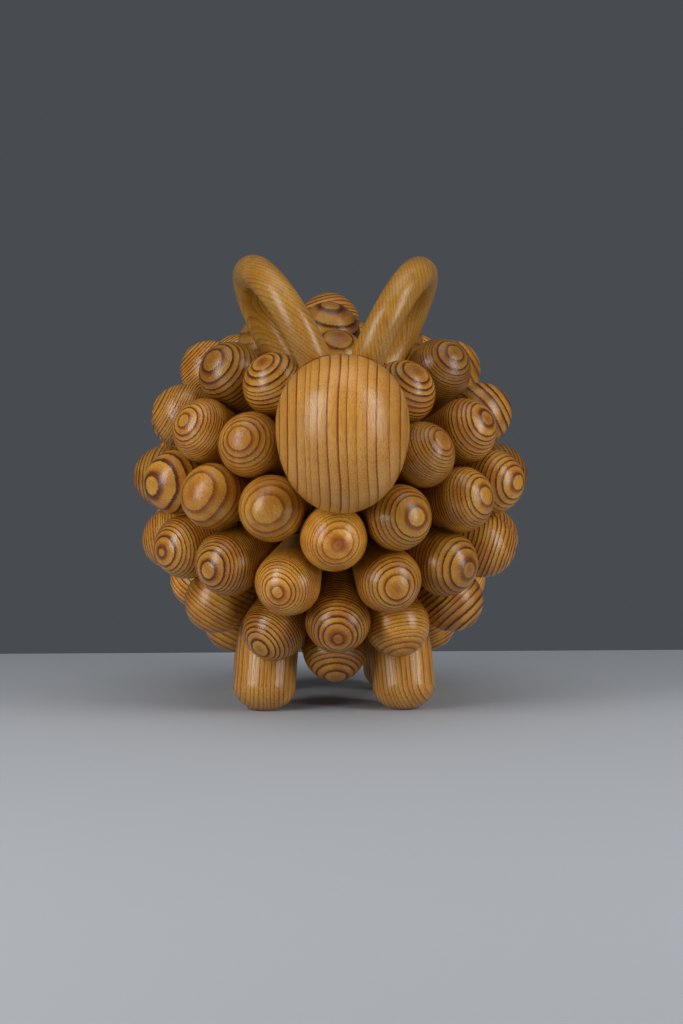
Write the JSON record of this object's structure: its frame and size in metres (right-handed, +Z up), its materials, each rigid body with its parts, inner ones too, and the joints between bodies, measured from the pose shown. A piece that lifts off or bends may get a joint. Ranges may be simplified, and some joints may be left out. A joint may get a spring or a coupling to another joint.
{
  "type": "wooden ram figurine",
  "caption": "Free-standing wooden ram: a rounded body covered in turned pegs for wool, an egg-shaped head with arched rod horns, and round-ended legs.",
  "frame": {"origin": "middle of the part's bounding box in X and Y, on the table that its feet stand on", "axes": "+Z up; the face looks along -Y; +X is to the right of somebody who looks it in the face"},
  "size_m": [0.1872, 0.2432, 0.2055],
  "materials": {
    "knob_pine": "turned pine with strong growth rings under satin-gloss clear lacquer",
    "head_pine": "turned pine with upright growth lines under satin-gloss clear lacquer",
    "horn_pine": "pale fine-grained pine rod under satin-gloss clear lacquer",
    "leg_pine": "turned pine with upright growth lines under satin-gloss clear lacquer",
    "core_pine": "turned pine, shaded by the pegs",
    "dowel_beech": "bare beech dowel, glued in"
  },
  "bodies": {
    "root": {"core_ball": "core_pine", "head": "head_pine", "neck_dowel": "dowel_beech", "left_horn": "horn_pine", "right_horn": "horn_pine", "left_horn_front_dowel": "dowel_beech", "left_horn_back_dowel": "dowel_beech", "right_horn_front_dowel": "dowel_beech", "right_horn_back_dowel": "dowel_beech", "front_left_leg": "leg_pine", "front_right_leg": "leg_pine", "hind_left_leg": "leg_pine", "hind_right_leg": "leg_pine", "top_knob_1": "knob_pine", "crown_knob_1": "knob_pine", "crown_knob_2": "knob_pine", "crown_knob_3": "knob_pine", "nape_knob_1": "knob_pine", "nape_knob_2": "knob_pine", "nape_knob_3": "knob_pine", "nape_knob_4": "knob_pine", "nape_back_knobs": "knob_pine", "collar_knob_1": "knob_pine", "collar_knob_2": "knob_pine", "collar_knob_3": "knob_pine", "collar_knob_4": "knob_pine", "collar_knob_5": "knob_pine", "collar_knob_6": "knob_pine", "collar_back_knobs": "knob_pine", "middle_knob_1": "knob_pine", "middle_knob_2": "knob_pine", "middle_knob_3": "knob_pine", "middle_knob_4": "knob_pine", "middle_knob_5": "knob_pine", "middle_knob_6": "knob_pine", "middle_knob_7": "knob_pine", "middle_knob_8": "knob_pine", "middle_back_knobs": "knob_pine", "breast_knob_1": "knob_pine", "flank_knob_1": "knob_pine", "flank_knob_2": "knob_pine", "flank_knob_3": "knob_pine", "flank_knob_4": "knob_pine", "flank_knob_5": "knob_pine", "flank_knob_6": "knob_pine", "flank_knob_7": "knob_pine", "flank_knob_8": "knob_pine", "flank_back_knobs": "knob_pine", "belly_knob_1": "knob_pine", "belly_knob_2": "knob_pine", "belly_knob_3": "knob_pine", "belly_knob_4": "knob_pine", "belly_knob_5": "knob_pine", "belly_knob_6": "knob_pine", "belly_knob_7": "knob_pine", "belly_back_knobs": "knob_pine", "under_knob_1": "knob_pine", "under_knob_2": "knob_pine", "under_knob_3": "knob_pine", "under_back_knobs": "knob_pine"}
  },
  "joints": []
}
